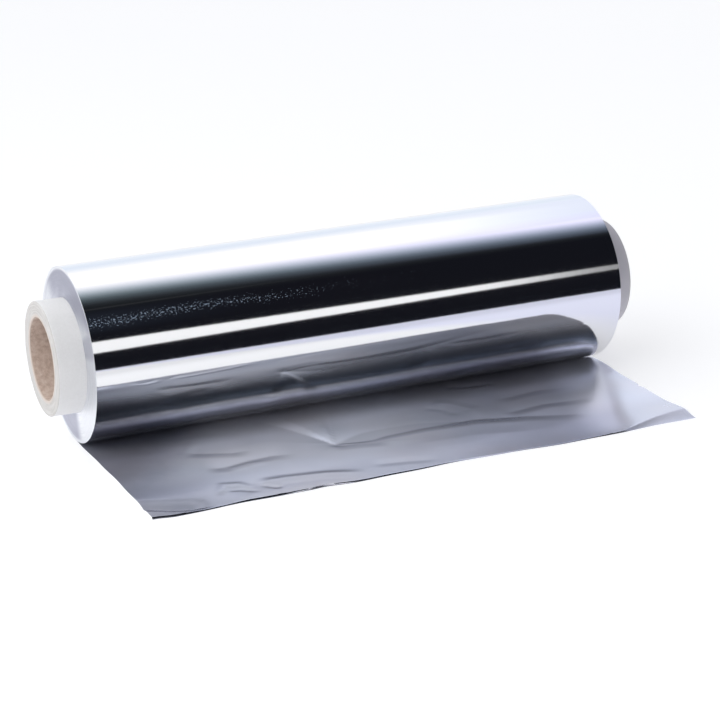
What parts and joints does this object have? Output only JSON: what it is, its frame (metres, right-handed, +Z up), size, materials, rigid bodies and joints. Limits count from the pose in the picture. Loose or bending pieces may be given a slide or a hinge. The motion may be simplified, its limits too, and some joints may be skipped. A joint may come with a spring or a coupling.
{
  "type": "aluminium foil roll",
  "caption": "Wide roll of household aluminium foil on a thick paper core that stands out at both ends, lying on its side with the loose end of the web drawn out in front as a flat tail.",
  "frame": {"origin": "on the roll's axis, halfway along the foil", "axes": "+X along the roll's axis; -Y the way the tail is drawn out; +Z up from the surface that the roll lies on"},
  "size_m": [0.3305, 0.17, 0.0918],
  "materials": {
    "foil": "bright rolled outside, matt side up on the tail",
    "core": "white outer ply, brown inner plies"
  },
  "bodies": {
    "root": {"foil_web": "foil", "core_tube": "core"}
  },
  "joints": []
}
